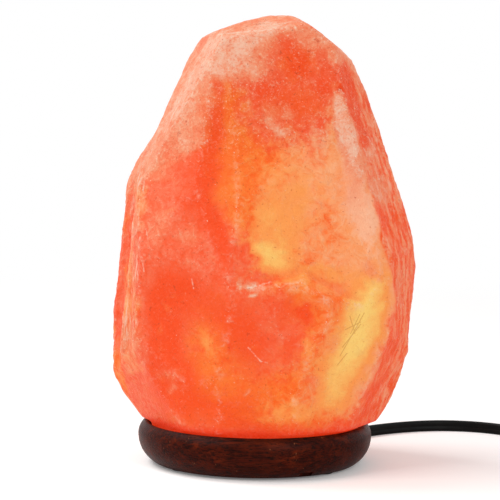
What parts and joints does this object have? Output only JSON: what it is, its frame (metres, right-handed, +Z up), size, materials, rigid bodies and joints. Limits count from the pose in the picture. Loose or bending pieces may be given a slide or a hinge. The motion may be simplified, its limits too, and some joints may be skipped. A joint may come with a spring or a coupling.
{
  "type": "salt crystal lamp",
  "caption": "Rough salt crystal lit from inside by a small screw-in bulb, on a turned wooden base, with a flat twin lead, in-line dimmer and two-blade plug.",
  "frame": {"origin": "on the table, below the middle of the crystal's box; the base's turned axis is 3 mm to the left of it", "axes": "+X to the right seen from the front, +Y to the back, +Z up"},
  "size_m": [0.3889, 0.1541, 0.2062],
  "materials": {
    "salt": "rough translucent rock, lit from inside",
    "dark_wood": "dark red-brown stain, satin varnish",
    "zinc_steel": "bright zinc plate",
    "spring_steel": "bare spring steel",
    "nylon": "natural nylon",
    "rubber_pad": "soft matte pad",
    "black_phenolic": "moulded phenolic",
    "brass": "bright brass",
    "nickel": "nickel plate",
    "copper": "bare copper strands",
    "black_lead": "matte black PVC",
    "clear_glass": "clear glass",
    "insulator": "black glass insulator",
    "solder": "dull solder",
    "tungsten": "drawn wire",
    "tie": "woven hook-and-loop strap",
    "black_plastic": "fine-textured moulding",
    "soft_black": "moulded soft PVC",
    "circuit_board": "green solder mask",
    "component_black": "moulded components"
  },
  "bodies": {
    "cord_set": {"cover_plate": "zinc_steel", "spring_clips": "spring_steel", "clip_rivets": "zinc_steel", "holder_body": "black_phenolic", "socket_sleeve": "brass", "centre_contact": "brass", "holder_screws": "zinc_steel", "lead_in": "black_lead", "lead_clamp": "black_phenolic", "stripped_cores": "copper", "lead_to_dimmer": "black_lead", "lead_to_coil": "black_lead", "lead_coil": "black_lead", "lead_to_plug": "black_lead", "coil_tie": "tie", "dimmer_bottom_case": "black_plastic", "dimmer_top_case": "black_plastic", "dimmer_screws": "zinc_steel", "dimmer_board": "circuit_board", "dimmer_parts": "component_black", "potentiometer": "zinc_steel", "dimmer_guards": "soft_black", "plug_body": "soft_black", "plug_blades": "brass", "plug_strain_relief": "soft_black"},
    "lamp_body": {"salt_crystal": "salt", "wood_base": "dark_wood", "base_screws": "zinc_steel", "screw_plugs": "nylon", "foot_pads": "rubber_pad"},
    "bulb_foot": {"bulb_insulator": "insulator", "bulb_tip": "solder"},
    "bulb": {"bulb_glass": "clear_glass", "bulb_cap": "nickel", "bulb_stem": "clear_glass", "filament": "tungsten"},
    "dimmer_control": {"dimmer_dial": "black_plastic", "dimmer_shaft": "nylon"}
  },
  "joints": [
    {"name": "lamp_lift", "type": "slide", "parent": "cord_set", "child": "lamp_body", "axis": [0, 0, 1], "range_m": [0, 0.1]},
    {"name": "bulb_travel", "type": "slide", "parent": "cord_set", "child": "bulb_foot", "axis": [0, 0, 1], "range_m": [0, 0.01016]},
    {"name": "bulb_turn", "type": "hinge", "parent": "bulb_foot", "child": "bulb", "pos_m": [-0.003, 0, 0.03], "axis": [0, 0, 1], "range_deg": [0, 1440]},
    {"name": "dial_turn", "type": "hinge", "parent": "cord_set", "child": "dimmer_control", "pos_m": [0.225, -0.046, 0.02], "axis": [0, 0, 1], "range_deg": [-280, 0]}
  ],
  "couplings": [
    {"joint": "bulb_travel", "follows": "bulb_turn", "m_per_rad": 0.00040425}
  ]
}
